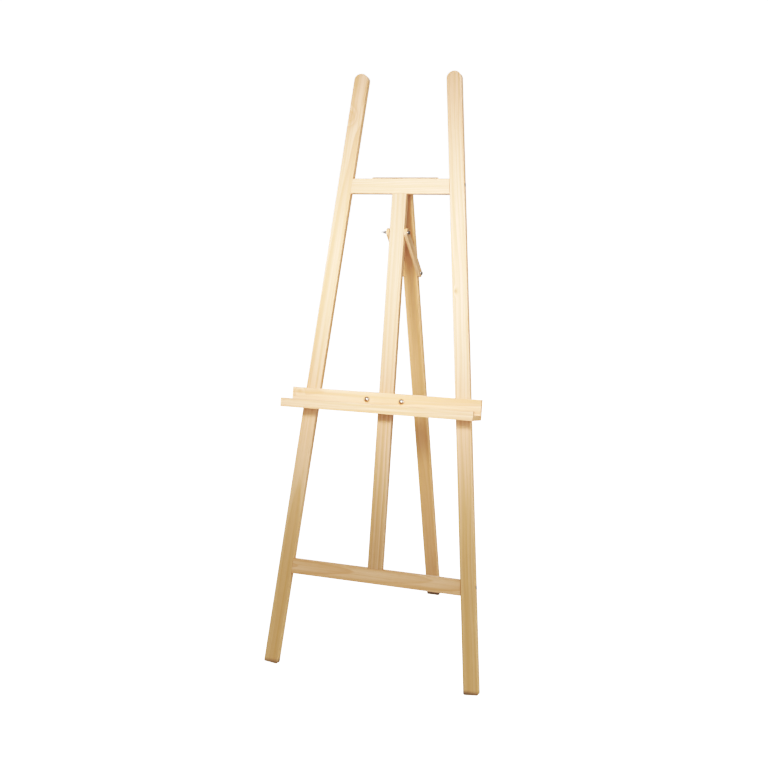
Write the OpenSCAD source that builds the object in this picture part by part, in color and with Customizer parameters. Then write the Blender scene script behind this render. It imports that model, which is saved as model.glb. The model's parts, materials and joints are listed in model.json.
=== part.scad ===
// Wooden artist easel: an A-shaped front frame that leans back against a hinged rear leg,
// with a sliding tray clamped to the centre mast and a pair of struts that sets the spread.
// Millimetres, +Z up, the easel faces -Y. The origin is under the middle of the footprint.

/* [Timber] */
// Width of the legs, rails, mast and rear leg
bar_w = 42; // [40:1:46]
// Thickness of the legs, rails, mast and rear leg
bar_t = 19; // [18:1:22]
// Radius of the eased long edges of that timber
edge_r = 2.5; // [1:0.5:4]
// Cut across each corner of the feet
foot_chamfer = 3; // [1:0.5:5]

/* [Front frame] */
// Length of a front leg from its square foot to its round top
leg_len = 1669; // [1640:1:1700]
// Distance between the centres of the two front feet
foot_spread = 586; // [560:2:620]
// Angle of each front leg to the mast
leg_splay = 5.54; // [5.3:0.02:5.8]
// Lean of the front frame from the vertical
frame_lean = 13; // [11:0.5:15]
// Height of the top rail's centre along the frame
top_rail_v = 1350; // [1346:1:1352]
// Height of the bottom rail's centre along the frame
bottom_rail_v = 279; // [240:1:320]

/* [Rear leg] */
// Lean of the rear leg from the vertical, the other way from the frame
back_lean = 11.5; // [10:0.5:13]
// Length of the head block across the top of the rear leg
head_len = 194; // [180:2:200]
// Rise of the head block above the hinge line
head_rise = 4.6; // [4:0.2:6]
// How far the rear leg folds toward the front frame, in degrees
fold_angle = 23; // [20:1:23]

/* [Butt hinges] */
// Distance from the hinge line to the timber faces on both sides of it
hinge_gap = 3.5; // [3.5:0.1:4]
// Height of the hinge line along the frame
hinge_v = 1369; // [1367:0.5:1370]
// Distance of each hinge from the centre of the easel
hinge_u = 66; // [62:1:70]
// Length of each hinge
hinge_len = 38; // [34:1:40]
// Height of each hinge leaf
leaf_h = 26; // [24:1:30]
// Thickness of the leaf plate
leaf_t = 1.5; // [1.2:0.1:1.8]
// Outer radius of the knuckles
knuckle_r = 3.2; // [3:0.1:3.2]
// Radius of the hinge pin
pin_r = 1.5; // [1.3:0.1:1.6]

/* [Struts] */
// Thickness of each strut
strut_t = 8.5; // [8:0.5:12]
// Width of each strut, which is also the diameter of its round ends
strut_w = 23; // [22:0.5:26]
// Height of the upper strut bolt along the frame
strut_bolt_v = 1224; // [1215:1:1230]
// Distance of the lower strut bolt below the hinge line along the rear leg
strut_drop = 270; // [265:1:275]
// Width of the slot in the rear leg, in which the lower strut bolt slides
slot_w = 5.6; // [5.6:0.1:6.4]

/* [Tray] */
// Length of the tray's three boards
tray_len = 545; // [520:1:560]
// Height of the ledge's top face along the frame
tray_v = 741; // [720:1:800]
// Thickness of the back board and the ledge
tray_t = 13; // [12:0.5:15]
// Height of the back board
board_h = 42; // [38:1:46]
// Depth of the ledge from the front frame
ledge_d = 76; // [60:1:90]
// Thickness of the front lip
lip_t = 14; // [10:0.5:18]
// Height of the front lip
lip_h = 24; // [20:0.5:30]
// Depth of the rebate in the ledge that the back board stands in
rebate = 3; // [2:0.5:5]
// Radius of the eased edges of the tray's boards
tray_edge_r = 1.5; // [0.5:0.5:3]

/* [Tray clamp] */
// Distance between the two carriage bolts
clamp_pitch = 100; // [90:2:120]
// Length of the clamp bar behind the mast
clamp_len = 150; // [136:2:170]
// Thickness of the clamp bar
clamp_t = 12; // [10:0.5:12]

/* [Bolts and screws] */
// Diameter of the carriage bolts
tray_bolt_d = 6; // [5:0.5:6]
// Diameter of the two strut bolts
strut_bolt_d = 5; // [4:0.5:5]
// Diameter of the long screws that join the frame
frame_screw_d = 5; // [4:0.5:5]
// Diameter of the wooden dowels
dowel_d = 8; // [6:1:8]

/* [Hidden] */
$fn = 48;

pine = [0.90, 0.80, 0.64];
pine_shade = [0.80, 0.66, 0.45];
steel = [0.66, 0.66, 0.67];
dark_steel = [0.28, 0.27, 0.26];
beech = [0.80, 0.67, 0.50];

fit_gap = 0.05;                    // radial clearance of a pin, dowel or screw in its hole
body_gap = 0.3;                    // gap between pieces that slide or turn past each other
overcut = 1;                       // how far a cutting tool runs past the face that it cuts
side = [-1, 1];

// Front frame: u across, v up the slope, n to the rear of the front faces.
foot_half = bar_w / 2 - foot_chamfer;
frame_lift = bar_t * sin(frame_lean) + foot_half * sin(leg_splay) * cos(frame_lean);
hinge_n = bar_t + hinge_gap;
hinge_y = hinge_v * sin(frame_lean) + hinge_n * cos(frame_lean);
hinge_z = frame_lift + hinge_v * cos(frame_lean) - hinge_n * sin(frame_lean);
leg_u = function (v) foot_spread / 2 - v * tan(leg_splay);
leg_half_u = bar_w / 2 / cos(leg_splay);

// Rear leg: its own frame has its origin on the hinge line and z along the leg.
foot_drop = (hinge_z + hinge_gap * sin(back_lean)) / cos(back_lean);
back_foot_y = hinge_y + hinge_gap * cos(back_lean) + foot_drop * sin(back_lean) + bar_t * cos(back_lean);
front_foot_y = -foot_half * sin(leg_splay) * sin(frame_lean);
origin_y = (front_foot_y + back_foot_y) / 2;

// Strut linkage, in the rear leg's axes: where the upper bolt is and how far down the leg's
// slot the lower bolt has slid when the leg is folded by an angle.
bolt_drop = hinge_v - strut_bolt_v;
bolt_set = hinge_n - bar_t / 2;
bolt_arm = norm([bolt_drop, bolt_set]);
slot_y = hinge_gap + bar_t / 2;
swing_at = function (fold) frame_lean + back_lean - fold + atan2(bolt_set, bolt_drop);
reach_y = function (fold) slot_y + bolt_arm * sin(swing_at(fold));
strut_len = norm([reach_y(0), strut_drop - bolt_arm * cos(swing_at(0))]);
slot_end_at = function (fold) bolt_arm * cos(swing_at(fold))
    + sqrt(pow(strut_len, 2) - pow(reach_y(fold), 2));
strut_lean = back_lean + asin(reach_y(0) / strut_len);

// Screws and dowels of the rails and the mast.
outline_margin = 0.5;              // how far a cut-out shape stands clear of the bar's sides
rail_screw_len = 75;
rail_screw_head = 10;
rail_screw_rise = 3.3;             // height of the screw above the rail's centre line
rail_dowel_len = 40;
rail_dowel_drop = 11;              // depth of the dowel below the rail's centre line
mast_screw_len = 90;
mast_screw_head = 10;
mast_bottom = bottom_rail_v + bar_w / 2;
mast_top = top_rail_v - bar_w / 2;

// Hinges: the screw places are across the leaf and down from the hinge line.
leaf_screw_d = 3;
leaf_screw_len = 14;
leaf_screw_head = 5.6;
leaf_screw_spots = [[-12, 9], [12, 9], [0, 20]];
knuckle_len = (hinge_len - 2 * body_gap) / 3;
knuckle_pitch = knuckle_len + body_gap;

// Head block and the two dowels that hold it on the rear leg.
head_dowel_u = 11;
head_dowel_len = 60;
head_bottom = head_rise - bar_w;
head_corner_r = 6;

// Nuts, washers and bolt heads.
nut_h = 7;                         // height of a wing nut's hub
washer_t = 1;
hex_ratio = 1.85;                  // width over corners of a hexagon head, in bolt diameters
strut_out = bar_w / 2 + body_gap + strut_t;
strut_washer_u = strut_out + body_gap;
strut_head_u = strut_washer_u + washer_t;
strut_nut_u = strut_head_u + body_gap;
strut_head_h = 3.5;
strut_washer_d = 10;
strut_bolt_end = strut_nut_u + nut_h + 6;
strut_nut_turn = 98;               // how far round the wing nut has been left
pivot_nut_h = 5;
pivot_bolt_end = strut_head_u + pivot_nut_h + 2;

// Tray: it stands a small gap off the frame so that it can slide.
board_n = -body_gap - tray_t;
lip_n = -body_gap - ledge_d;
tray_fixings = [-225, -80, 80, 225];
tray_screw_d = 4;
tray_screw_len = 38;
tray_screw_head = 8;
tray_dowel_d = 6;
tray_dowel_len = 30;
lip_wall = 4;                      // wood left in front of the dowels in the lip

// Tray clamp: two carriage bolts, a bar behind the mast, fender washers and wing nuts.
clamp_n = bar_t + body_gap;
clamp_v = tray_v + board_h / 2;
clamp_bore_gap = 0.2;
clamp_bore_d = tray_bolt_d + 2 * clamp_bore_gap;
clamp_washer_d = 18;
clamp_nut_turn = [25, -40];        // how far round the left and right nuts have been left
tray_nut_n = clamp_n + clamp_t + washer_t + body_gap;
carriage_neck = 4;
carriage_len = tray_nut_n + nut_h + 5 - board_n;
dome_d = 14;
dome_h = 3.2;
dome_r = (pow(dome_d / 2, 2) + pow(dome_h, 2)) / (2 * dome_h);

// Places a child drawn in the frame's u, n, v axes.
module in_frame() {
    translate([0, -origin_y, frame_lift]) rotate([-frame_lean, 0, 0]) children();
}

// Places a child drawn in the rear leg's axes.
module in_back() {
    translate([0, hinge_y - origin_y, hinge_z]) rotate([back_lean, 0, 0]) children();
}

// Places a child drawn in a front leg's axes: x to the outside, z up the leg.
module in_leg(s) {
    in_frame() translate([s * foot_spread / 2, 0, 0]) rotate([0, -s * leg_splay, 0]) children();
}

// Places a child drawn in a strut's axes: the upper bolt at the origin and z up the strut.
module in_strut() {
    in_frame() translate([0, bar_t / 2, strut_bolt_v])
        rotate([frame_lean + strut_lean, 0, 0]) children();
}

// A rectangle with round corners, centred on the origin.
module round_rect(w, h, r) {
    square([w - 2 * r, h], center = true);
    square([w, h - 2 * r], center = true);
    for (x = side, y = side) translate([x * (w / 2 - r), y * (h / 2 - r)]) circle(r);
}

// A length of timber along z, its front face at y = 0 and its long edges eased.
module bar(len, w = bar_w, t = bar_t, r = edge_r) {
    translate([0, t / 2, 0]) linear_extrude(len) round_rect(w, t, r);
}

// The outline of a bar with cut foot corners, drawn in x and y.
module foot_outline(len, extra = 0) {
    half = bar_w / 2 + extra;
    polygon([[-foot_half, 0], [foot_half, 0], [half, foot_chamfer + extra], [half, len],
        [-half, len], [-half, foot_chamfer + extra]]);
}

// The same bar laid across the frame from x = -len/2 to len/2.
module cross_bar(len, h, t, r) {
    translate([-len / 2, 0, 0]) rotate([0, 90, 0]) rotate([0, 0, 90])
        linear_extrude(len) translate([t / 2, 0]) round_rect(t, h, r);
}

// A countersunk wood screw along -z with the top of its head at the origin.
module wood_screw(d, len, head_d) {
    head_h = (head_d - d) / 2;
    recess_len = head_d / 2;
    recess_w = head_d / 10;
    recess_h = head_h * 0.8;
    difference() {
        union() {
            translate([0, 0, -head_h]) cylinder(h = head_h, d1 = d, d2 = head_d);
            translate([0, 0, -len + d]) cylinder(h = len - d - head_h, d = d);
            translate([0, 0, -len]) cylinder(h = d, d1 = d / 4, d2 = d);
        }
        for (a = [0, 90]) rotate([0, 0, a]) translate([-recess_len / 2, -recess_w / 2, -recess_h])
            cube([recess_len, recess_w, head_h]);
    }
}

// The hole that such a screw fills.
module screw_hole(d, len, head_d) {
    head_h = (head_d - d) / 2;
    translate([0, 0, -head_h]) cylinder(h = head_h, d1 = d + 2 * fit_gap, d2 = head_d + 2 * fit_gap);
    translate([0, 0, -len - overcut]) cylinder(h = len + overcut, d = d + 2 * fit_gap);
    cylinder(h = overcut, d = head_d + 2 * fit_gap);
}

// A flat washer on the z axis, from z = 0 up.
module washer(bore_d, d) {
    difference() {
        cylinder(h = washer_t, d = d);
        translate([0, 0, -overcut]) cylinder(h = washer_t + 2 * overcut, d = bore_d + 4 * fit_gap);
    }
}

// A wing nut on the z axis, its foot at z = 0.
module wing_nut(bore_d) {
    hub_d = bore_d * 1.9;
    ear_x = bore_d * 1.75;
    ear_z = nut_h + bore_d * 0.45;
    ear_r = bore_d * 0.7;
    ear_t = bore_d * 0.42;
    hub_top_d = hub_d * 0.78;
    ear_foot = nut_h * 0.15;
    ear_root = nut_h * 0.8;
    rim = function (a) [ear_x + ear_r * cos(a), ear_z + ear_r * sin(a)];
    difference() {
        union() {
            cylinder(h = nut_h, d1 = hub_d, d2 = hub_top_d);
            for (a = [0, 180]) rotate([0, 0, a]) translate([0, ear_t / 2, 0]) rotate([90, 0, 0])
                linear_extrude(ear_t) {
                    translate([ear_x, ear_z]) circle(ear_r);
                    polygon([[0, ear_foot], [hub_d / 2, ear_foot], rim(-32), rim(135), [0, ear_root]]);
                }
        }
        translate([0, 0, -overcut]) cylinder(h = 3 * nut_h, d = bore_d + 2 * fit_gap);
    }
}

module left_leg() {
    front_leg(-1);
}

module right_leg() {
    front_leg(1);
}

// A front leg with its screw and dowel holes for the two rails.
module front_leg(s) {
    color(pine) difference() {
        in_leg(s) intersection() {
            bar(leg_len);
            translate([0, bar_t + overcut, 0]) rotate([90, 0, 0]) linear_extrude(bar_t + 2 * overcut) {
                foot_outline(leg_len - bar_w / 2, outline_margin);
                translate([0, leg_len - bar_w / 2]) circle(bar_w / 2);
            }
        }
        for (v = [bottom_rail_v, top_rail_v]) {
            at_rail_screw(s, v) screw_hole(frame_screw_d, rail_screw_len, rail_screw_head);
            at_rail_dowel(s, v) dowel(dowel_d + 2 * fit_gap, rail_dowel_len);
        }
    }
}

// The outer face of a leg where the screw for a rail goes in, with z pointing out of the leg.
module at_rail_screw(s, v) {
    in_frame() translate([s * leg_u(v), bar_t / 2, v + rail_screw_rise])
        rotate([0, s * (90 - leg_splay), 0]) translate([0, 0, bar_w / 2]) children();
}

// The joint between a leg and a rail where the blind dowel sits.
module at_rail_dowel(s, v) {
    dowel_v = v - rail_dowel_drop;
    in_frame() translate([s * (leg_u(dowel_v) - leg_half_u), bar_t / 2, dowel_v])
        rotate([0, 90, 0]) children();
}

// A dowel centred on the origin along z.
module dowel(d, len) {
    translate([0, 0, -len / 2]) cylinder(h = len, d = d);
}

// A rail cut to fit between the two splayed legs.
module rail(v) {
    difference() {
        in_frame() intersection() {
            translate([0, 0, v]) cross_bar(foot_spread, bar_w, bar_t, edge_r);
            translate([0, bar_t + overcut, v]) rotate([90, 0, 0]) linear_extrude(bar_t + 2 * overcut)
                polygon([for (c = [[-1, -1], [1, -1], [1, 1], [-1, 1]])
                    [c[0] * (leg_u(v + c[1] * bar_w) - leg_half_u), c[1] * bar_w]]);
        }
        for (s = side) {
            at_rail_screw(s, v) screw_hole(frame_screw_d, rail_screw_len, rail_screw_head);
            at_rail_dowel(s, v) dowel(dowel_d + 2 * fit_gap, rail_dowel_len);
        }
        if (v == top_rail_v) {
            at_mast_screw(1) screw_hole(frame_screw_d, mast_screw_len, mast_screw_head);
            at_fixed_screws() screw_hole(leaf_screw_d, leaf_screw_len, leaf_screw_head);
        } else {
            at_mast_screw(-1) screw_hole(frame_screw_d, mast_screw_len, mast_screw_head);
        }
    }
}

module top_rail() {
    color(pine) rail(top_rail_v);
}

module bottom_rail() {
    color(pine) rail(bottom_rail_v);
}

// The outer edge of a rail over or under the mast, with z pointing away from the mast.
module at_mast_screw(end) {
    v = end > 0 ? top_rail_v + bar_w / 2 : bottom_rail_v - bar_w / 2;
    in_frame() translate([0, bar_t / 2, v]) rotate([end > 0 ? 0 : 180, 0, 0]) children();
}

// The centre mast between the rails, with the hole for the upper strut bolt.
module mast() {
    color(pine) difference() {
        in_frame() translate([0, 0, mast_bottom]) bar(mast_top - mast_bottom);
        in_frame() translate([0, bar_t / 2, strut_bolt_v]) rotate([0, 90, 0])
            dowel(strut_bolt_d + 2 * fit_gap, bar_w + 2 * overcut);
        for (end = side) at_mast_screw(end)
            screw_hole(frame_screw_d, mast_screw_len, mast_screw_head);
    }
}

module rail_screws() {
    color(dark_steel) for (s = side, v = [bottom_rail_v, top_rail_v])
        at_rail_screw(s, v) wood_screw(frame_screw_d, rail_screw_len, rail_screw_head);
}

module rail_dowels() {
    color(beech) for (s = side, v = [bottom_rail_v, top_rail_v])
        at_rail_dowel(s, v) dowel(dowel_d, rail_dowel_len);
}

module mast_screws() {
    color(dark_steel) for (end = side)
        at_mast_screw(end) wood_screw(frame_screw_d, mast_screw_len, mast_screw_head);
}

// The screws of the fixed leaves, with z pointing out of the leaf to the rear.
module at_fixed_screws() {
    for (s = side, p = leaf_screw_spots)
        in_frame() translate([s * hinge_u + p[0], bar_t + leaf_t, hinge_v - p[1]])
            rotate([-90, 0, 0]) children();
}

// The screws of the moving leaves, with z pointing out of the leaf to the front.
module at_moving_screws() {
    for (s = side, p = leaf_screw_spots)
        in_back() translate([s * hinge_u + p[0], hinge_gap - leaf_t, -p[1]])
            rotate([90, 0, 0]) children();
}

// One hinge leaf in the hinge's axes, its plate against the plane y = face.
module leaf(face, knuckles) {
    plate_y = face < 0 ? face : face - leaf_t;
    difference() {
        union() {
            for (k = knuckles) translate([k * knuckle_pitch, 0, 0]) {
                rotate([0, 90, 0]) dowel(2 * knuckle_r, knuckle_len);
                translate([-knuckle_len / 2, plate_y, -knuckle_r - 2 * body_gap])
                    cube([knuckle_len, leaf_t, knuckle_r + 2 * body_gap]);
            }
            translate([-hinge_len / 2, plate_y, -leaf_h])
                cube([hinge_len, leaf_t, leaf_h - knuckle_r - body_gap]);
        }
        rotate([0, 90, 0]) dowel(2 * (pin_r + fit_gap), hinge_len + overcut);
        for (p = leaf_screw_spots)
            translate([p[0], face < 0 ? face + leaf_t : face - leaf_t, -p[1]])
                rotate([face < 0 ? -90 : 90, 0, 0])
                    screw_hole(leaf_screw_d, leaf_screw_len, leaf_screw_head);
    }
}

module hinge_fixed_leaves() {
    color(steel) for (s = side)
        in_frame() translate([s * hinge_u, hinge_n, hinge_v]) leaf(-hinge_gap, side);
}

module hinge_moving_leaves() {
    color(steel) for (s = side)
        in_back() translate([s * hinge_u, 0, 0]) leaf(hinge_gap, [0]);
}

module hinge_pins() {
    color(steel) for (s = side)
        in_frame() translate([s * hinge_u, hinge_n, hinge_v]) rotate([0, 90, 0])
            dowel(2 * pin_r, hinge_len);
}

module hinge_fixed_screws() {
    color(steel) at_fixed_screws() wood_screw(leaf_screw_d, leaf_screw_len, leaf_screw_head);
}

module hinge_moving_screws() {
    color(steel) at_moving_screws() wood_screw(leaf_screw_d, leaf_screw_len, leaf_screw_head);
}

// The two dowels that join the rear leg's end to the head block.
module at_head_dowels() {
    for (s = side) in_back() translate([s * head_dowel_u, hinge_gap + bar_t / 2, head_bottom]) children();
}

// The lower strut bolt's axis, with z to the right.
module at_pivot() {
    in_strut() translate([0, 0, -strut_len]) rotate([0, 90, 0]) children();
}

// The slot through the rear leg from side to side, along the leg.
module strut_slot() {
    in_back() translate([0, slot_y, 0]) rotate([0, 90, 0]) {
        for (x = [strut_drop, slot_end_at(fold_angle)])
            translate([x, 0, 0]) dowel(slot_w, bar_w + 2 * overcut);
        translate([strut_drop, -slot_w / 2, -bar_w / 2 - overcut])
            cube([slot_end_at(fold_angle) - strut_drop, slot_w, bar_w + 2 * overcut]);
    }
}

// The rear leg, from the floor to the underside of the head block.
module back_leg() {
    len = foot_drop + head_bottom;
    color(pine_shade) difference() {
        in_back() translate([0, hinge_gap, -foot_drop]) intersection() {
            bar(len);
            translate([0, bar_t + overcut, 0]) rotate([90, 0, 0]) linear_extrude(bar_t + 2 * overcut)
                foot_outline(len + overcut, outline_margin);
        }
        at_head_dowels() dowel(dowel_d + 2 * fit_gap, head_dowel_len);
        strut_slot();
    }
}

// The head block: a short bar with round upper corners.
module head_block() {
    color(pine_shade) difference() {
        in_back() translate([0, hinge_gap, head_bottom + bar_w / 2]) intersection() {
            cross_bar(head_len, bar_w, bar_t, edge_r);
            translate([0, bar_t + overcut, 0]) rotate([90, 0, 0]) linear_extrude(bar_t + 2 * overcut)
                round_rect(head_len, bar_w + outline_margin, head_corner_r);
        }
        at_head_dowels() dowel(dowel_d + 2 * fit_gap, head_dowel_len);
        at_moving_screws() screw_hole(leaf_screw_d, leaf_screw_len, leaf_screw_head);
    }
}

module head_dowels() {
    color(beech) at_head_dowels() dowel(dowel_d, head_dowel_len);
}

// A hexagon-head bolt along z from the underside of its head at z = head_z down to z = -tip.
module hex_bolt(head_z, tip) {
    translate([0, 0, head_z]) cylinder(h = strut_head_h, d = strut_bolt_d * hex_ratio, $fn = 6);
    translate([0, 0, -tip]) cylinder(h = tip + head_z, d = strut_bolt_d);
}

// The upper strut bolt's axis, with z to the right.
module at_strut_bolt() {
    in_frame() translate([0, bar_t / 2, strut_bolt_v]) rotate([0, 90, 0]) children();
}

module strut_bolt() {
    color(dark_steel) at_strut_bolt() hex_bolt(strut_head_u, strut_bolt_end);
}

module strut_bolt_washers() {
    color(steel) at_strut_bolt() for (u = [strut_washer_u, -strut_washer_u - washer_t])
        translate([0, 0, u]) washer(strut_bolt_d, strut_washer_d);
}

module strut_wing_nut() {
    color(steel) at_strut_bolt() translate([0, 0, -strut_nut_u]) rotate([180, 0, strut_nut_turn])
        wing_nut(strut_bolt_d);
}

module pivot_bolt() {
    color(dark_steel) at_pivot() hex_bolt(strut_head_u, pivot_bolt_end);
}

module pivot_nut() {
    color(dark_steel) at_pivot() translate([0, 0, -strut_head_u - pivot_nut_h]) difference() {
        cylinder(h = pivot_nut_h, d = strut_bolt_d * hex_ratio, $fn = 6);
        translate([0, 0, -overcut])
            cylinder(h = pivot_nut_h + 2 * overcut, d = strut_bolt_d + 2 * fit_gap);
    }
}

module pivot_washers() {
    color(steel) at_pivot() for (u = [strut_washer_u, -strut_washer_u - washer_t])
        translate([0, 0, u]) washer(strut_bolt_d, strut_washer_d);
}

// A strut: round ends with a bore for a bolt in each.
module strut(s) {
    x0 = s > 0 ? strut_out - strut_t : -strut_out;
    color(pine_shade) in_strut() translate([x0, 0, 0]) rotate([0, 90, 0])
        linear_extrude(strut_t) difference() {
            hull() for (x = [0, strut_len]) translate([x, 0]) circle(strut_w / 2);
            for (x = [0, strut_len]) translate([x, 0]) circle(strut_bolt_d / 2 + fit_gap);
        }
}

module left_strut() {
    strut(-1);
}

module right_strut() {
    strut(1);
}

// The axis of each carriage bolt, with z to the rear and its origin on the board's front face.
module at_carriage_bolt(s) {
    in_frame() translate([s * clamp_pitch / 2, board_n, clamp_v]) rotate([-90, 0, 0]) children();
}

module tray_back_board() {
    neck_hole = tray_bolt_d + 4 * fit_gap;
    color(pine) difference() {
        in_frame() translate([0, board_n, clamp_v - rebate / 2])
            cross_bar(tray_len, board_h + rebate, tray_t, tray_edge_r);
        for (s = side) at_carriage_bolt(s) {
            dowel(tray_bolt_d + 2 * fit_gap, 4 * tray_t);
            translate([0, 0, carriage_neck / 2])
                cube([neck_hole, neck_hole, carriage_neck + 4 * fit_gap], center = true);
        }
        at_tray_screws() screw_hole(tray_screw_d, tray_screw_len, tray_screw_head);
    }
}

// The screws that come up through the ledge into the back board, with z pointing down.
module at_tray_screws() {
    for (u = tray_fixings) in_frame() translate([u, board_n + tray_t / 2, tray_v - tray_t])
        rotate([180, 0, 0]) children();
}

// The blind dowels between the ledge and the lip.
module at_tray_dowels() {
    for (u = tray_fixings) in_frame()
        translate([u, lip_n + tray_dowel_len / 2 - lip_t + lip_wall, tray_v - tray_t / 2])
            rotate([90, 0, 0]) children();
}

module tray_ledge() {
    color(pine) difference() {
        in_frame() translate([0, lip_n, tray_v - tray_t / 2])
            cross_bar(tray_len, tray_t, ledge_d, tray_edge_r);
        in_frame() translate([-tray_len / 2 - overcut, board_n - fit_gap, tray_v - rebate])
            cube([tray_len + 2 * overcut, 2 * tray_t, 2 * rebate]);
        at_tray_screws() screw_hole(tray_screw_d, tray_screw_len, tray_screw_head);
        at_tray_dowels() dowel(tray_dowel_d + 2 * fit_gap, tray_dowel_len);
    }
}

module tray_lip() {
    color(pine) difference() {
        in_frame() translate([0, lip_n - lip_t, tray_v - tray_t + lip_h / 2])
            cross_bar(tray_len, lip_h, lip_t, tray_edge_r);
        at_tray_dowels() dowel(tray_dowel_d + 2 * fit_gap, tray_dowel_len);
    }
}

module tray_screws() {
    color(dark_steel) at_tray_screws() wood_screw(tray_screw_d, tray_screw_len, tray_screw_head);
}

module tray_dowels() {
    color(beech) at_tray_dowels() dowel(tray_dowel_d, tray_dowel_len);
}

module clamp_bar() {
    color(pine) difference() {
        in_frame() translate([0, clamp_n, clamp_v])
            cross_bar(clamp_len, board_h, clamp_t, tray_edge_r);
        for (s = side) at_carriage_bolt(s) dowel(clamp_bore_d, 8 * tray_t);
    }
}

// A carriage bolt along z: domed head in front of z = 0, square neck, then the round shank.
module carriage_bolt() {
    intersection() {
        translate([0, 0, dome_r - dome_h]) sphere(dome_r, $fn = 64);
        translate([0, 0, -dome_h]) cylinder(h = dome_h, d = dome_d);
    }
    translate([0, 0, carriage_neck / 2]) cube([tray_bolt_d, tray_bolt_d, carriage_neck], center = true);
    cylinder(h = carriage_len, d = tray_bolt_d);
}

module carriage_bolts() {
    color(steel) for (s = side) at_carriage_bolt(s) carriage_bolt();
}

// The axis of a carriage bolt, with z to the rear and its origin on the easel's front plane.
module on_clamp_axis(s) {
    in_frame() translate([s * clamp_pitch / 2, 0, clamp_v]) rotate([-90, 0, 0]) children();
}

module clamp_washers() {
    color(steel) for (s = side) on_clamp_axis(s)
        translate([0, 0, clamp_n + clamp_t]) washer(tray_bolt_d, clamp_washer_d);
}

module left_clamp_wing_nut() {
    color(steel) on_clamp_axis(-1) translate([0, 0, tray_nut_n]) rotate([0, 0, clamp_nut_turn[0]])
        wing_nut(tray_bolt_d);
}

module right_clamp_wing_nut() {
    color(steel) on_clamp_axis(1) translate([0, 0, tray_nut_n]) rotate([0, 0, clamp_nut_turn[1]])
        wing_nut(tray_bolt_d);
}

left_leg();
right_leg();
top_rail();
bottom_rail();
mast();
rail_screws();
rail_dowels();
mast_screws();
hinge_fixed_leaves();
hinge_pins();
hinge_fixed_screws();
strut_bolt();
strut_bolt_washers();
strut_wing_nut();
back_leg();
head_block();
head_dowels();
hinge_moving_leaves();
hinge_moving_screws();
pivot_bolt();
pivot_nut();
pivot_washers();
left_strut();
right_strut();
tray_back_board();
tray_ledge();
tray_lip();
tray_screws();
tray_dowels();
clamp_bar();
carriage_bolts();
clamp_washers();
left_clamp_wing_nut();
right_clamp_wing_nut();
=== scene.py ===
import json
import math

import bmesh
import bpy
from mathutils import Matrix, Vector

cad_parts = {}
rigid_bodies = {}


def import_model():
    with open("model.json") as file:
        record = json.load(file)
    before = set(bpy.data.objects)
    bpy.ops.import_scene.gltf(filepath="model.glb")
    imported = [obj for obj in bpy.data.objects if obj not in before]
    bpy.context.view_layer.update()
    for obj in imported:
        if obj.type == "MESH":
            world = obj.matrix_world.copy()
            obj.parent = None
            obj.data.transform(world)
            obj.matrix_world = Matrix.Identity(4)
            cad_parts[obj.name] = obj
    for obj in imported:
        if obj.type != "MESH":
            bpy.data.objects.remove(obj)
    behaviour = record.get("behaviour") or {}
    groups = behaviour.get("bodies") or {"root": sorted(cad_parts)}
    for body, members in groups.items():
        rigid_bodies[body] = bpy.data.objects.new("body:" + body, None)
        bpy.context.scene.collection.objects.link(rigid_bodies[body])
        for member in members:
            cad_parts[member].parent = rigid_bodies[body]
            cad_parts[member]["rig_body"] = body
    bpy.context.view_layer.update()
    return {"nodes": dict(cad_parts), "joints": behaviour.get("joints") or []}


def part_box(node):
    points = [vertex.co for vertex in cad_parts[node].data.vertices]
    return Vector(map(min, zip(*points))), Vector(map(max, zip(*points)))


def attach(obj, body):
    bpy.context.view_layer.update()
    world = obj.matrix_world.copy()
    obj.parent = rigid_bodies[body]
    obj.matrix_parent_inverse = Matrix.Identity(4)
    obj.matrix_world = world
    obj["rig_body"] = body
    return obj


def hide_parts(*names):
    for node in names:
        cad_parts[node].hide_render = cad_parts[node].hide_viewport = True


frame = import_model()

MM = 0.001

# ---------------------------------------------------------------- the easel's own directions
JOINTS = {j["name"]: j for j in frame["joints"]}
UP_FRAME = Vector(JOINTS["tray_slide"]["axis"]).normalized()
ACROSS = Vector((1, 0, 0))
FRAME_BACK = ACROSS.cross(UP_FRAME) * -1
LEG_SPLAY = math.radians(5.54)
BACK_LEAN = math.radians(11.5)
UP_BACK = Vector((0, -math.sin(BACK_LEAN), math.cos(BACK_LEAN)))


def centre(node):
    low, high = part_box(node)
    return (low + high) / 2


def two_centres(node):
    """The middles of a mirrored pair of things drawn as one node."""
    obj = frame["nodes"][node]
    points = [obj.matrix_world @ v.co for v in obj.data.vertices]
    middle = sum(p.x for p in points) / len(points)
    halves = ([p for p in points if p.x < middle], [p for p in points if p.x > middle])
    return [sum(half, Vector()) / len(half) for half in halves]


def leg_axis(side):
    return (UP_FRAME * math.cos(LEG_SPLAY) - ACROSS * side * math.sin(LEG_SPLAY)).normalized()


def strut_axis():
    upper = Vector(JOINTS["strut_swing"]["pos_m"])
    lower = centre("pivot_nut")
    lower.x = upper.x
    return (upper - lower).normalized()


# ---------------------------------------------------------------- camera
CAMERA_PLACE = Vector((0.980, -2.8368, 1.4376))
CAMERA_TURN = math.radians(20.042)
CAMERA_PITCH = math.radians(-12.618)
CAMERA_ROLL = math.radians(-0.648)
CAMERA_LENS = 50.555


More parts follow.
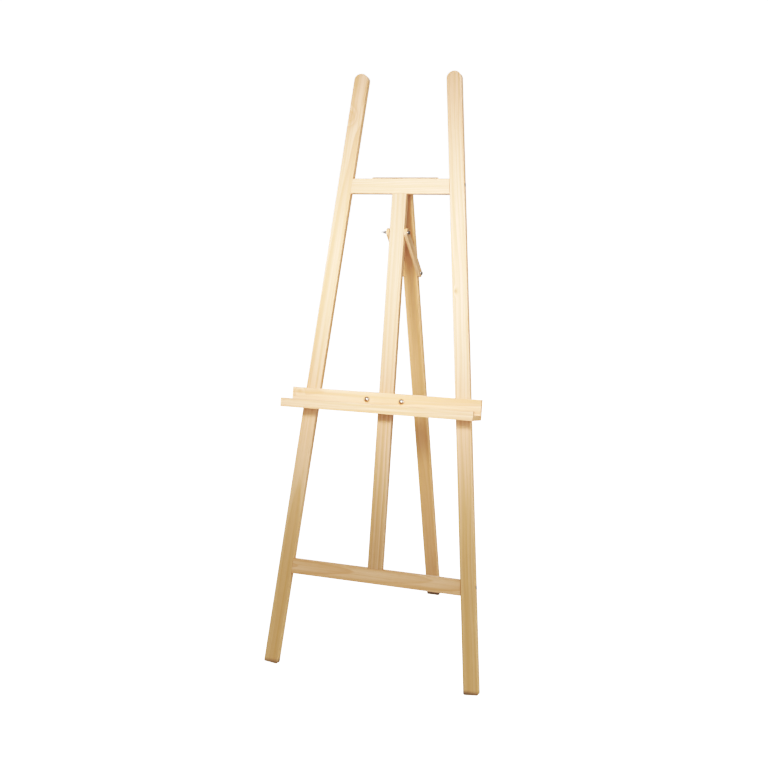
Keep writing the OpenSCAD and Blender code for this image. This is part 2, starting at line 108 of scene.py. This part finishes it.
def make_camera():
    cp, sp = math.cos(CAMERA_PITCH), math.sin(CAMERA_PITCH)
    ct, st = math.cos(CAMERA_TURN), math.sin(CAMERA_TURN)
    ahead = Vector((-st * cp, ct * cp, sp))
    right = Vector((ct, st, 0))
    up = right.cross(ahead)
    cr, sr = math.cos(CAMERA_ROLL), math.sin(CAMERA_ROLL)
    right, up = right * cr + up * sr, up * cr - right * sr
    data = bpy.data.cameras.new("camera")
    data.lens = CAMERA_LENS
    data.sensor_width = 36
    data.clip_start = 0.05
    data.clip_end = 100
    cam = bpy.data.objects.new("camera", data)
    bpy.context.scene.collection.objects.link(cam)
    cam.matrix_world = Matrix((
        (right.x, up.x, -ahead.x, CAMERA_PLACE.x),
        (right.y, up.y, -ahead.y, CAMERA_PLACE.y),
        (right.z, up.z, -ahead.z, CAMERA_PLACE.z),
        (0, 0, 0, 1)))
    bpy.context.scene.camera = cam


# ---------------------------------------------------------------- light, floor, sky
def aim(lamp, place, target):
    bpy.context.scene.collection.objects.link(lamp)
    lamp.location = place
    lamp.rotation_euler = (Vector(target) - Vector(place)).to_track_quat("-Z", "Y").to_euler()


def area_light(name, place, target, size, power, colour):
    data = bpy.data.lights.new(name, "AREA")
    data.shape = "DISK"
    data.size = size
    data.energy = power
    data.color = colour
    aim(bpy.data.objects.new(name, data), place, target)


def spot_light(name, place, target, cone, power, softness, colour):
    data = bpy.data.lights.new(name, "SPOT")
    data.spot_size = math.radians(cone)
    data.spot_blend = 1.0
    data.shadow_soft_size = softness
    data.energy = power
    data.color = colour
    aim(bpy.data.objects.new(name, data), place, target)


KEY_COLOUR = (1.0, 0.99, 0.97)
PLAIN_COLOUR = (1.0, 1.0, 1.0)
FILL_SIZE = 1.2
BACK_SIZE = 1.6
KEY_SOFTNESS = 0.45

# The background is seen just above the tone curve's white, so it never goes grey, and the
# floor's glow brings the floor up to it, so no horizon shows.
SKY_SEEN = 2.05
SKY_LIT = 0.42
FLOOR_GLOW = 1.95
FLOOR_GREY = 0.75
FLOOR_HALF = 14.0


def make_lights():
    spot_light("key_light", (-0.05, -2.2, 2.1), (0.01, 0, 1.09), 22.5, 710, KEY_SOFTNESS, KEY_COLOUR)
    spot_light("side_key_light", (0.75, -2.2, 2.1), (0.12, 0, 1.09), 24, 90, KEY_SOFTNESS, KEY_COLOUR)
    area_light("fill_light", (0.4, -2.6, 1.5), (0, 0, 1.0), FILL_SIZE, 22, PLAIN_COLOUR)
    area_light("side_light", (2.4, -0.25, 1.35), (0, 0, 1.0), FILL_SIZE, 25, PLAIN_COLOUR)
    area_light("back_light", (-0.6, 3.0, 1.9), (0, 0, 0.9), BACK_SIZE, 42, PLAIN_COLOUR)


def make_world():
    world = bpy.data.worlds.new("studio")
    bpy.context.scene.world = world
    world.use_nodes = True
    tree = world.node_tree
    tree.nodes.clear()
    out = tree.nodes.new("ShaderNodeOutputWorld")
    seen = tree.nodes.new("ShaderNodeBackground")
    seen.inputs["Color"].default_value = (1, 1, 1, 1)
    seen.inputs["Strength"].default_value = SKY_SEEN
    lit = tree.nodes.new("ShaderNodeBackground")
    lit.inputs["Color"].default_value = (1, 1, 1, 1)
    lit.inputs["Strength"].default_value = SKY_LIT
    path = tree.nodes.new("ShaderNodeLightPath")
    mix = tree.nodes.new("ShaderNodeMixShader")
    tree.links.new(path.outputs["Is Camera Ray"], mix.inputs["Fac"])
    tree.links.new(lit.outputs[0], mix.inputs[1])
    tree.links.new(seen.outputs[0], mix.inputs[2])
    tree.links.new(mix.outputs[0], out.inputs["Surface"])


def make_floor():
    mesh = bpy.data.meshes.new("floor")
    half = FLOOR_HALF
    corners = [(-half, -half, 0), (half, -half, 0), (half, half, 0), (-half, half, 0)]
    mesh.from_pydata(corners, [], [(0, 1, 2, 3)])
    floor = bpy.data.objects.new("floor", mesh)
    bpy.context.scene.collection.objects.link(floor)
    mat = bpy.data.materials.new("pale_floor")
    mat.use_nodes = True
    tree = mat.node_tree
    shader = tree.nodes["Principled BSDF"]
    shader.inputs["Base Color"].default_value = (FLOOR_GREY, FLOOR_GREY, FLOOR_GREY, 1)
    shader.inputs["Roughness"].default_value = 0.8
    shader.inputs["Specular IOR Level"].default_value = 0.1
    shader.inputs["Emission Color"].default_value = (1, 1, 1, 1)
    path = tree.nodes.new("ShaderNodeLightPath")
    glow = tree.nodes.new("ShaderNodeMath")
    glow.operation = "MULTIPLY"
    glow.inputs[1].default_value = FLOOR_GLOW
    tree.links.new(path.outputs["Is Camera Ray"], glow.inputs[0])
    tree.links.new(glow.outputs[0], shader.inputs["Emission Strength"])
    mesh.materials.append(mat)


# A photographic tone curve: a soft shoulder for the pale wood and a slight toe.
WHITE = 2.0
TONE = ((0.1, 0.061), (0.2, 0.16), (0.35, 0.35), (0.5, 0.5), (0.7, 0.64), (1.0, 0.79),
    (1.4, 0.90), (1.75, 0.955))


def make_tone():
    view = bpy.context.scene.view_settings
    view.view_transform = "Standard"
    view.look = "None"
    view.use_curve_mapping = True
    mapping = view.curve_mapping
    mapping.white_level = (WHITE, WHITE, WHITE)
    for x, y in TONE:
        mapping.curves[3].points.new(x / WHITE, y)
    mapping.update()


# ---------------------------------------------------------------- node helpers
class Graph:
    """Short ways to add and join shader nodes."""

    def __init__(self, name):
        self.material = bpy.data.materials.new(name)
        self.material.use_nodes = True
        self.tree = self.material.node_tree
        self.shader = self.tree.nodes["Principled BSDF"]

    def node(self, kind, **settings):
        n = self.tree.nodes.new(kind)
        for key, value in settings.items():
            setattr(n, key, value)
        return n

    def put(self, socket, value):
        if isinstance(value, bpy.types.NodeSocket):
            self.tree.links.new(value, socket)
        else:
            socket.default_value = value

    def math(self, operation, a, b=0.0, c=0.0):
        n = self.node("ShaderNodeMath", operation=operation)
        for socket, value in zip(n.inputs, (a, b, c)):
            self.put(socket, value)
        return n.outputs[0]

    def distance(self, a, b):
        squares = [self.math("POWER", side, 2.0) for side in (a, b)]
        return self.math("SQRT", self.math("ADD", *squares))

    def smooth(self, value, low, high, to_low=0.0, to_high=1.0):
        n = self.node("ShaderNodeMapRange", interpolation_type="SMOOTHSTEP")
        for socket, v in zip(n.inputs, (value, low, high, to_low, to_high)):
            self.put(socket, v)
        return n.outputs[0]

    def noise(self, vector, scale, detail=2.0, rough=0.5):
        n = self.node("ShaderNodeTexNoise")
        self.put(n.inputs["Vector"], vector)
        self.put(n.inputs["Scale"], scale)
        self.put(n.inputs["Detail"], detail)
        self.put(n.inputs["Roughness"], rough)
        return n.outputs["Fac"]

    def stretch(self, vector, scale, shift=(0, 0, 0)):
        n = self.node("ShaderNodeMapping")
        self.put(n.inputs["Vector"], vector)
        n.inputs["Scale"].default_value = scale
        n.inputs["Location"].default_value = shift
        return n.outputs["Vector"]

    def mix(self, factor, a, b):
        n = self.node("ShaderNodeMix", data_type="RGBA")
        self.put(n.inputs["Factor"], factor)
        self.put(n.inputs["A"], a)
        self.put(n.inputs["B"], b)
        return n.outputs["Result"]

    def bump(self, height, strength, distance, normal=None):
        n = self.node("ShaderNodeBump")
        n.inputs["Strength"].default_value = strength
        n.inputs["Distance"].default_value = distance
        self.put(n.inputs["Height"], height)
        if normal is not None:
            self.put(n.inputs["Normal"], normal)
        return n.outputs["Normal"]


def rgb(r, g, b):
    return (r, g, b, 1.0)


# ---------------------------------------------------------------- wood
EARLY = rgb(0.850, 0.570, 0.375)
LATE = rgb(0.590, 0.315, 0.145)
HONEY = rgb(0.660, 0.385, 0.185)
LOW_SHADE_OLIVE = rgb(0.600, 0.395, 0.160)
KNOT = rgb(0.30, 0.145, 0.055)
KNOT_RING = rgb(0.47, 0.26, 0.105)
# Painted shadow colour for the feet.
FOOT_SHADOW = rgb(0.17, 0.11, 0.06)
RUBBED = rgb(0.86, 0.73, 0.54)

# How finely each figure is packed, per metre: along the bar, across its face, and through it.
FIBRES = (9, 620, 620)
STREAKS = (1.4, 85, 85)
BLOTCHES = (2.2, 9, 9)
RESIN_LINES = (34, 1300, 1300)
RING_RIPPLES = (5, 60, 60)
SURFACE_WAVES = (3, 22, 22)
SCUFFS = (14, 60, 60)

PITH_WANDER = 0.035
RIPPLE_DEPTH = 0.0016
ARRIS_WIDTH = 0.0022
# The painted foot shadow starts at the upper height and is full at the lower one.
FOOT_SHADOW_TOP = 0.020
FOOT_SHADOW_FULL = 0.005

# A knot is a little longer along the bar, its branch leans as it goes through, and the rings
# bulge round it in a bell.
KNOT_NARROWING = 0.72
KNOT_LEAN = 0.25
BULGE_FALL = -0.16
BULGE_HEIGHT = 2.6


class Bar:
    """A bar's own space and figure: x runs along the grain, y across the face, z through it."""

    def __init__(self, g, along, across, origin, seed):
        across = (across - along * across.dot(along)).normalized()
        turn = Matrix((along, across, along.cross(across)))
        self.g = g
        self.along = along
        self.coords = g.node("ShaderNodeTexCoord")
        place = g.node("ShaderNodeMapping")
        place.inputs["Rotation"].default_value = turn.to_euler()
        place.inputs["Location"].default_value = -(turn @ origin)
        g.put(place.inputs["Vector"], self.coords.outputs["Object"])
        self.local = place.outputs["Vector"]
        parts = g.node("ShaderNodeSeparateXYZ")
        g.put(parts.inputs[0], self.local)
        self.x, self.y, self.z = parts.outputs
        self.shift = (seed * 3.17, seed * 1.31, seed * 2.23)
        self.fibre = self.noise(FIBRES, 3.0, 0.6)
        self.streak = self.noise(STREAKS, 3.0, 0.55)
        self.blotch = self.noise(BLOTCHES, 3.0, 0.55)
        self.resin = g.smooth(self.noise(RESIN_LINES, 0.0), 0.74, 0.80)

    def noise(self, packing, detail=2.0, rough=0.5, shift=None):
        g = self.g
        return g.noise(g.stretch(self.local, packing, shift or self.shift), 1.0, detail, rough)


def knot_fields(g, bar, knots):
    """For (x, y, radius, core, stain) knots: how far they push the rings, and where they show."""
    push = 0.0
    spot = 0.0
    halo = 0.0
    near = 1.0
    for kx, ky, radius, core, stain in knots:
        dx = g.math("MULTIPLY", g.math("SUBTRACT", bar.x, kx), KNOT_NARROWING)
        dy = g.math("SUBTRACT", g.math("MULTIPLY_ADD", bar.z, KNOT_LEAN, bar.y), ky)
        d = g.math("DIVIDE", g.distance(dx, dy), radius)
        bell = g.math("EXPONENT", g.math("MULTIPLY", g.math("POWER", d, 2.0), BULGE_FALL))
        push = g.math("MULTIPLY_ADD", bell, BULGE_HEIGHT * radius, push)
        spot = g.math("MAXIMUM", g.smooth(d, 1.15, 0.8, 0.0, core), spot)
        halo = g.math("MAXIMUM", g.smooth(d, 2.8, 1.0, 0.0, stain), halo)
        near = g.math("MINIMUM", near, g.math("MULTIPLY", d, 0.5))
    return push, spot, halo, near


def growth_rings(g, bar, pith, tilt, ring, push):
    """How much latewood shows, from the distance to a pith line that wanders beside the bar."""
    sways = (bar.noise((1.6, 9, 9)),
        bar.noise((1.1, 7, 7), 1.0, shift=(bar.shift[1], bar.shift[2], 5)))
    sides = []
    for side, lean, offset, sway in zip((bar.y, bar.z), tilt, pith, sways):
        wander = g.math("MULTIPLY_ADD", g.math("SUBTRACT", sway, 0.5), PITH_WANDER, -offset)
        sides.append(g.math("ADD", g.math("MULTIPLY_ADD", bar.x, -lean, side), wander))
    radius = g.math("ADD", g.distance(*sides), push)
    radius = g.math("MULTIPLY_ADD", bar.noise(RING_RIPPLES), RIPPLE_DEPTH, radius)
    count = g.math("DIVIDE", radius, ring)

    # Some years are wide and some narrow.
    widths = g.node("ShaderNodeTexNoise", noise_dimensions="1D")
    g.put(widths.inputs["W"], g.math("MULTIPLY", count, 0.45))
    g.put(widths.inputs["Scale"], 1.0)
    g.put(widths.inputs["Detail"], 1.0)
    count = g.math("MULTIPLY_ADD", widths.outputs["Fac"], 1.5, count)

    # Each year darkens slowly and ends sharply, and some years are darker than others.
    phase = g.math("FRACT", count)
    late = g.math("MULTIPLY", g.math("POWER", phase, 2.4), g.smooth(phase, 0.9, 1.0, 1.0, 0.0))
    year = g.node("ShaderNodeTexNoise", noise_dimensions="1D")
    g.put(year.inputs["W"], g.math("MULTIPLY", g.math("FLOOR", count), 0.73))
    g.put(year.inputs["Scale"], 1.0)
    return g.math("MULTIPLY", late, g.smooth(year.outputs["Fac"], 0.3, 0.7, 0.45, 1.0))


def long_grain(g, bar, late, tone, contrast, painted_light_scale):
    """The long faces' colour: rings, streaks, blotches, fibres and short dark resin lines."""
    # Painted light and shade: the colour scale brightens or darkens all of a piece's wood colours,
    # for how much light reaches it.
    early, late_wood, honey = [rgb(*(painted_light_scale * v for v in c[:3])) for c in (EARLY, LATE, HONEY)]
    colour = g.mix(g.math("MULTIPLY", late, min(1.0, 0.75 * contrast)), early, late_wood)
    streaks = g.math("MULTIPLY", g.smooth(bar.streak, 0.40, 0.68), 0.45 * contrast)
    colour = g.mix(streaks, colour, honey)
    colour = g.mix(g.smooth(bar.blotch, 0.3, 0.8, 0.0, 0.22), colour, honey)
    fibres = g.math("MULTIPLY", g.smooth(bar.fibre, 0.45, 0.72), 0.22)
    colour = g.mix(fibres, colour, late_wood)
    colour = g.mix(g.math("MULTIPLY", bar.resin, 0.35), colour, KNOT_RING)
    if tone:
        colour = g.mix(tone, colour, honey)
    return colour


def painted_low_shade(g, bar, colour, low_shade):
    """Painted shade: the wood goes darker and olive from the top height down to the bottom one,
    measured along the bar, for the light falling off low down.
    """
    bottom, top, amount = low_shade
    return g.mix(g.smooth(bar.x, top, bottom, 0.0, amount), colour, LOW_SHADE_OLIVE)


def with_knots(g, bar, colour, spot, halo, near):
    patchy = g.math("MULTIPLY", halo, g.smooth(bar.streak, 0.35, 0.6, 0.6, 1.0))
    colour = g.mix(patchy, colour, LATE)
    rings = g.math("FRACT", g.math("MULTIPLY", near, 6.0))
    return g.mix(spot, colour, g.mix(rings, KNOT_RING, KNOT))


def painted_bolt_shade(g, bar, colour, shade_ring):
    """Painted shade: a darker ring on the wood round a bolt's head, for the shade in the recess round
    it.
    """
    mx, my, inner = shade_ring
    off = g.distance(g.math("SUBTRACT", bar.x, mx), g.math("SUBTRACT", bar.y, my))
    return g.mix(g.smooth(off, 1.7 * inner, inner, 0.0, 0.75), colour, KNOT_RING)


def painted_foot_shadow(g, bar, colour):
    """Painted shadow: the feet go dark where they meet the floor, for the shadow under them."""
    place = g.node("ShaderNodeSeparateXYZ")
    g.put(place.inputs[0], bar.coords.outputs["Object"])
    low = g.smooth(place.outputs[2], FOOT_SHADOW_TOP, FOOT_SHADOW_FULL)
    return g.mix(g.math("MULTIPLY", low, g.smooth(bar.blotch, 0.2, 0.5, 0.6, 0.9)), colour, FOOT_SHADOW)


def end_grain(g, bar):
    """1 on the cut ends and 0 on the long faces."""
    facing = g.node("ShaderNodeVectorMath", operation="DOT_PRODUCT")
    g.put(facing.inputs[0], bar.coords.outputs["Normal"])
    facing.inputs[1].default_value = bar.along
    return g.smooth(g.math("ABSOLUTE", facing.outputs["Value"]), 0.55, 0.92)


def rubbed_arrises(g, bar, colour):
    """Handling rubs the arrises a little cleaner and paler."""
    edge = g.node("ShaderNodeBevel", samples=4)
    edge.inputs["Radius"].default_value = ARRIS_WIDTH
    plain = g.node("ShaderNodeNewGeometry")
    same = g.node("ShaderNodeVectorMath", operation="DOT_PRODUCT")
    g.put(same.inputs[0], edge.outputs["Normal"])
    g.put(same.inputs[1], plain.outputs["Normal"])
    worn = g.smooth(same.outputs["Value"], 0.995, 0.93)
    scuff = g.smooth(bar.noise(SCUFFS, 3.0), 0.4, 0.62)
    return g.mix(g.math("MULTIPLY", g.math("MULTIPLY", worn, scuff), 0.30), colour, RUBBED)


def wood_surface(g, bar, late, end, spot):
    """Roughness, gloss and relief: fibres and latewood stand up, resin and knots sink."""
    rough = g.math("MULTIPLY_ADD", bar.fibre, 0.16, 0.50)
    rough = g.math("MULTIPLY_ADD", end, 0.18, rough)
    rough = g.math("MULTIPLY_ADD", late, -0.08, rough)
    g.put(g.shader.inputs["Roughness"], rough)
    g.shader.inputs["Specular IOR Level"].default_value = 0.42
    g.shader.inputs["IOR"].default_value = 1.45
    relief = g.math("MULTIPLY_ADD", bar.fibre, 0.6, g.math("MULTIPLY", late, 0.5))
    relief = g.math("SUBTRACT", relief, g.math("MULTIPLY", bar.resin, 0.5))
    relief = g.math("SUBTRACT", relief, g.math("MULTIPLY", spot, 0.5))
    normal = g.bump(relief, 0.45, 0.00025)
    normal = g.bump(bar.noise(SURFACE_WAVES), 0.15, 0.002, normal)
    g.put(g.shader.inputs["Normal"], normal)


def pine(name, along, across, origin, seed, pith=(0.03, 0.06), tilt=(0.0, 0.02), ring=0.0060,
         tone=0.0, contrast=1.0, knots=(), low_shade=None, painted_light_scale=1.0, bolt_shade=(), foot_shadow=False):
    """Solid pine: growth rings about a pith line beside the bar, fibres, knots and end grain, with
    painted light and shade: a colour scale for how much light reaches the piece, darkening low down,
    painted shadow at the feet and painted shade round bolt heads.
    """
    g = Graph(name)
    bar = Bar(g, along, across, origin, seed)
    push, spot, halo, near = knot_fields(g, bar, knots)
    late = growth_rings(g, bar, pith, tilt, ring, push)
    colour = long_grain(g, bar, late, tone, contrast, painted_light_scale)
    # Painted shade low down.
    if low_shade is not None:
        colour = painted_low_shade(g, bar, colour, low_shade)
    if knots:
        colour = with_knots(g, bar, colour, spot, halo, near)
    # Painted shade round the bolt heads.
    for shade_ring in bolt_shade:
        colour = painted_bolt_shade(g, bar, colour, shade_ring)
    # Painted shadow at the feet.
    if foot_shadow:
        colour = painted_foot_shadow(g, bar, colour)

    # End grain drinks in more: it is darker and rougher than the long faces.
    end = end_grain(g, bar)
    colour = g.mix(g.math("MULTIPLY", end, 0.55), colour, g.mix(late, LATE, KNOT_RING))
    g.put(g.shader.inputs["Base Color"], rubbed_arrises(g, bar, colour))
    wood_surface(g, bar, late, end, spot)
    return g.material


# ---------------------------------------------------------------- metal
NICKEL = rgb(0.66, 0.61, 0.55)
NICKEL_DULL = rgb(0.34, 0.29, 0.24)
ZINC = rgb(0.66, 0.66, 0.67)
ZINC_DULL = rgb(0.40, 0.39, 0.38)
BLACKENED = rgb(0.13, 0.12, 0.105)
BLACKENED_DULL = rgb(0.07, 0.062, 0.055)

# How finely the plating's figures are packed, per metre.
CLOUDS = 140
SPECKS = 1100
SCRATCHES = (260, 2600, 2600)


def metal(name, base, dull, rough, seed):
    """Plated steel: cloudy plating, fine scratches and dull spots."""
    g = Graph(name)
    coords = g.node("ShaderNodeTexCoord")
    at = g.stretch(coords.outputs["Object"], (1, 1, 1), (seed, seed * 2.1, seed * 0.7))
    cloud = g.noise(at, CLOUDS, 3.0, 0.6)
    speck = g.noise(at, SPECKS, 2.0, 0.6)
    scratch = g.noise(g.stretch(at, SCRATCHES), 1.0, 2.0)
    colour = g.mix(g.smooth(cloud, 0.35, 0.75, 0.0, 0.25), base, dull)
    colour = g.mix(g.smooth(speck, 0.62, 0.78, 0.0, 0.35), colour, dull)
    g.put(g.shader.inputs["Base Color"], colour)
    g.shader.inputs["Metallic"].default_value = 1.0
    g.put(g.shader.inputs["Roughness"], g.math("MULTIPLY_ADD", cloud, 0.22, rough))
    relief = g.math("MULTIPLY_ADD", scratch, 0.5, g.math("MULTIPLY", speck, 0.5))
    g.put(g.shader.inputs["Normal"], g.bump(relief, 0.12, 0.00015))
    return g.material


# ---------------------------------------------------------------- refined pieces
SHARP_EDGE = math.radians(35)
FLAT_EDGE = math.radians(0.5)
SAME_POINT = 1e-6


def refined(node, body, material, bevel, slot, segments=3):
    """The CAD node's own shape with its sharp edges eased, standing in for it."""
    bm = bmesh.new()
    bm.from_mesh(frame["nodes"][node].data)
    bmesh.ops.remove_doubles(bm, verts=bm.verts, dist=SAME_POINT)
    bmesh.ops.dissolve_limit(bm, angle_limit=FLAT_EDGE, verts=bm.verts, edges=bm.edges)
    edges = [e for e in bm.edges if len(e.link_faces) == 2 and e.calc_face_angle(0.0) > SHARP_EDGE]
    bmesh.ops.bevel(bm, geom=edges, offset=bevel, offset_type="OFFSET", segments=segments,
        profile=0.5, affect="EDGES", clamp_overlap=True, loop_slide=True)
    bmesh.ops.recalc_face_normals(bm, faces=bm.faces)
    mesh = bpy.data.meshes.new(node + "_shape")
    bm.to_mesh(mesh)
    bm.free()
    for face in mesh.polygons:
        face.use_smooth = True
    mesh.materials.append(material)
    piece = bpy.data.objects.new(node + "_piece", mesh)
    bpy.context.scene.collection.objects.link(piece)
    weigh = piece.modifiers.new("flat_faces", "WEIGHTED_NORMAL")
    weigh.keep_sharp = False
    weigh.weight = 90
    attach(piece, body)
    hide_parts(node)


ARRIS = 1.0 * MM
STRUT_ARRIS = 0.9 * MM
METAL_SEGMENTS = 2
BOLT_HEAD_R = 6.5 * MM

# Painted low shade is (bottom, top, amount), in metres along the bar from its middle: darker towards
# the bottom, for the light falling off there.
LEG_LOW_SHADE = (-0.75, 0.0, 0.5)
MAST_LOW_SHADE = (-0.5, 0.1, 0.1)


def make_uprights():
    uprights = (
        # node, body, slot, along, seed, settings; a knot is (x, y, radius, core, stain)
        # The legs' darkening low down is painted shade, and their dark feet are painted shadow.
        ("left_leg", "front_frame", "pine", leg_axis(-1), 1.0, dict(
            ring=0.0115, pith=(0.012, 0.055), tilt=(0.004, 0.016), contrast=1.7,
            knots=((0.715, -0.012, 0.0075, 0.0, 0.45),), low_shade=LEG_LOW_SHADE, foot_shadow=True)),
        # The right leg's colour scale below 1 is slight painted shade.
        ("right_leg", "front_frame", "pine", leg_axis(1), 2.0, dict(
            ring=0.0095, pith=(-0.06, 0.03), tilt=(0.006, 0.01), contrast=1.4, painted_light_scale=0.97,
            knots=((0.241, -0.0145, 0.0032, 0.57, 0.5),), low_shade=LEG_LOW_SHADE, foot_shadow=True)),
        # The mast's colour scale below 1 and its darkening low down are painted shade.
        ("mast", "front_frame", "pine", UP_FRAME, 3.0, dict(
            ring=0.0095, pith=(0.05, 0.035), tilt=(-0.006, 0.012), contrast=1.3, painted_light_scale=0.82,
            low_shade=MAST_LOW_SHADE)),
        # The back leg's dark, golden colour is partly a warmer piece of wood and partly painted
        # shade, for the shade it stands in behind the mast.
        ("back_leg", "rear_leg", "rear_pine", UP_BACK, 4.0, dict(
            ring=0.0095, pith=(-0.035, 0.06), tilt=(0.0, 0.012), tone=0.55, painted_light_scale=0.98,
            foot_shadow=True)),
    )
    for node, body, slot, along, seed, settings in uprights:
        material = pine("pine_" + node, along, ACROSS, centre(node), seed, **settings)
        refined(node, body, material, ARRIS, slot)


def bolt_shade_rings():
    """Where the painted shade rings round the carriage bolts' heads sit on the tray's back board,
    from its middle.
    """
    board = centre("tray_back_board")
    offsets = [head - board for head in two_centres("carriage_bolts")]
    return [(off.dot(ACROSS), off.dot(UP_FRAME), BOLT_HEAD_R) for off in offsets]


def make_cross_bars():
    cross_bars = (
        # node, body, slot, across, seed, settings
        ("top_rail", "front_frame", "pine", UP_FRAME, 5.0, dict(
            pith=(0.05, 0.02), tilt=(0.01, 0.01))),
        ("bottom_rail", "front_frame", "pine", UP_FRAME, 6.0, dict(
            ring=0.008, pith=(0.0, 0.045), tilt=(0.01, 0.05), tone=0.1, contrast=1.3)),
        # The head block's low colour scale is painted shade: it sits in shade just behind the top
        # rail.
        ("head_block", "rear_leg", "rear_pine", UP_BACK, 7.0, dict(
            pith=(0.03, 0.05), tilt=(0.0, 0.03), tone=0.3, painted_light_scale=0.66)),
        # The tray pieces' colour scale above 1 is painted light.
        ("tray_back_board", "tray", "pine", UP_FRAME, 8.0, dict(
            ring=0.0085, pith=(0.012, 0.075), tilt=(0.004, 0.022), contrast=1.6, painted_light_scale=1.2,
            knots=((-0.251, 0.0135, 0.0035, 0.05, 0.09),), bolt_shade=bolt_shade_rings())),
        ("tray_ledge", "tray", "pine", FRAME_BACK, 9.0, dict(
            pith=(0.02, 0.06), tilt=(0.01, 0.03), painted_light_scale=1.1)),
        ("tray_lip", "tray", "pine", UP_FRAME, 10.0, dict(
            ring=0.0085, pith=(0.04, 0.03), tilt=(0.0, 0.015), contrast=1.6, painted_light_scale=1.2)),
        ("clamp_bar", "tray", "pine", UP_FRAME, 11.0, dict(
            pith=(0.01, 0.06), tilt=(0.0, 0.05), tone=0.1)),
    )
    for node, body, slot, across, seed, settings in cross_bars:
        material = pine("pine_" + node, ACROSS, across, centre(node), seed, **settings)
        refined(node, body, material, ARRIS, slot)


def make_struts():
    along = strut_axis()
    across = ACROSS.cross(along).normalized()
    for node, seed in (("left_strut", 12.0), ("right_strut", 13.0)):
        # The struts' colour scale below 1 is painted shade.
        material = pine("pine_" + node, along, across, centre(node), seed,
            pith=(0.01, 0.05), tilt=(0.0, 0.03), tone=0.12, painted_light_scale=0.78)
        refined(node, "strut_pair", material, STRUT_ARRIS, "rear_pine")


def make_fasteners():
    bright = metal("nickel_steel", NICKEL, NICKEL_DULL, 0.14, 1.0)
    zinc = metal("zinc_steel", ZINC, ZINC_DULL, 0.26, 2.0)
    dark = metal("dark_steel_plate", BLACKENED, BLACKENED_DULL, 0.55, 3.0)
    groups = (
        (bright, "bright_steel", 0.3 * MM, ("carriage_bolts",)),
        (zinc, "bright_steel", 0.25 * MM, (
            "hinge_fixed_leaves", "hinge_moving_leaves", "hinge_pins", "hinge_fixed_screws",
            "hinge_moving_screws", "strut_bolt_washers", "pivot_washers", "clamp_washers",
            "strut_wing_nut", "left_clamp_wing_nut", "right_clamp_wing_nut")),
        (dark, "dark_steel", 0.25 * MM, (
            "rail_screws", "mast_screws", "tray_screws", "strut_bolt", "pivot_bolt",
            "pivot_nut")),
    )
    for material, slot, bevel, nodes in groups:
        for node in nodes:
            body = frame["nodes"][node]["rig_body"]
            refined(node, body, material, bevel, slot, segments=METAL_SEGMENTS)


def make_dowels():
    beech = pine("beech_dowels", ACROSS, UP_FRAME, Vector((0, 0, 0.7)), 14.0, ring=0.002,
        contrast=0.4)
    for node in ("rail_dowels", "head_dowels", "tray_dowels"):
        mesh = frame["nodes"][node].data
        mesh.materials.clear()
        mesh.materials.append(beech)


make_camera()
make_world()
make_lights()
make_floor()
make_uprights()
make_cross_bars()
make_struts()
make_fasteners()
make_dowels()
make_tone()
